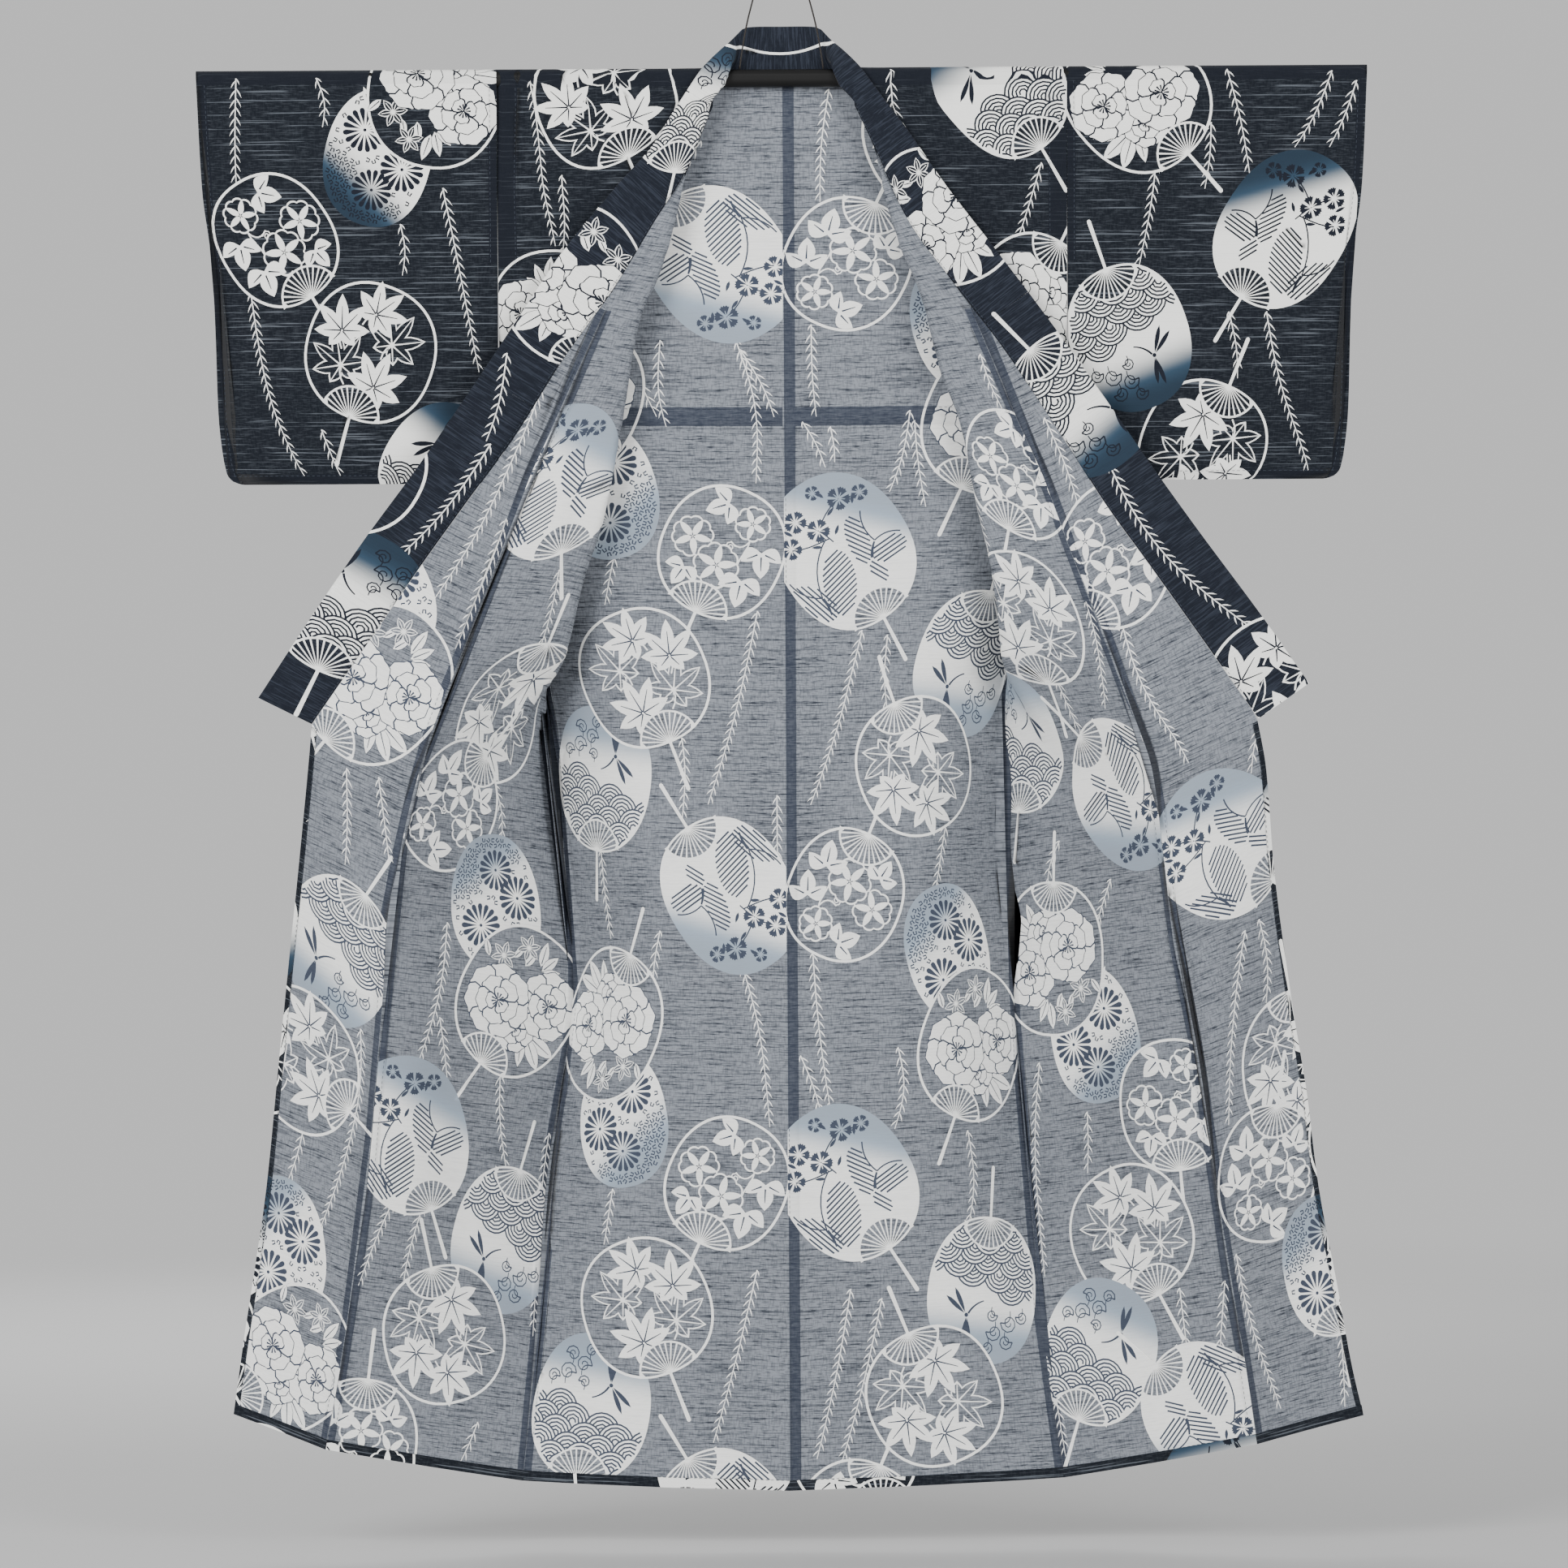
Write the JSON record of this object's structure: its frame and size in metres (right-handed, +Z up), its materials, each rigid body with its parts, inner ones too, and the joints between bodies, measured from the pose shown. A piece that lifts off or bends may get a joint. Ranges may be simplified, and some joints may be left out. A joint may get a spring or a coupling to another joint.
{
  "type": "cotton yukata robe on kimono hanger",
  "caption": "Cotton yukata hung by a cord and ring on a straight kimono hanger, its fronts drawn open to show the pale inside of the printed cloth.",
  "frame": {"origin": "inside top of the hanging ring, where a hook or nail holds the hanger", "axes": "+Z up, -Y towards the open front, +X towards the sleeve on the viewer's right"},
  "size_m": [1.372, 0.1838, 1.8882],
  "materials": {
    "printed_cotton": "matt slub cotton, dark navy outside with white print, pale grey-blue inside",
    "collar_cotton": "matt slub cotton, dark navy with white print",
    "black_lacquer": "glossy black",
    "arm_wood": "satin, golden brown",
    "black_cord": "twisted, matt",
    "steel": "satin"
  },
  "bodies": {
    "root": {"back_left": "printed_cotton", "back_right": "printed_cotton", "front_left": "printed_cotton", "front_right": "printed_cotton", "okumi_left": "printed_cotton", "okumi_right": "printed_cotton", "sleeve_left_front": "printed_cotton", "sleeve_left_back": "printed_cotton", "sleeve_right_front": "printed_cotton", "sleeve_right_back": "printed_cotton", "collar_left": "collar_cotton", "collar_cover": "collar_cotton", "collar_right": "collar_cotton", "hanger_bar": "black_lacquer", "hanger_arm_left": "arm_wood", "hanger_arm_right": "arm_wood", "hanger_cord": "black_cord", "hanger_ring": "steel"}
  },
  "joints": []
}
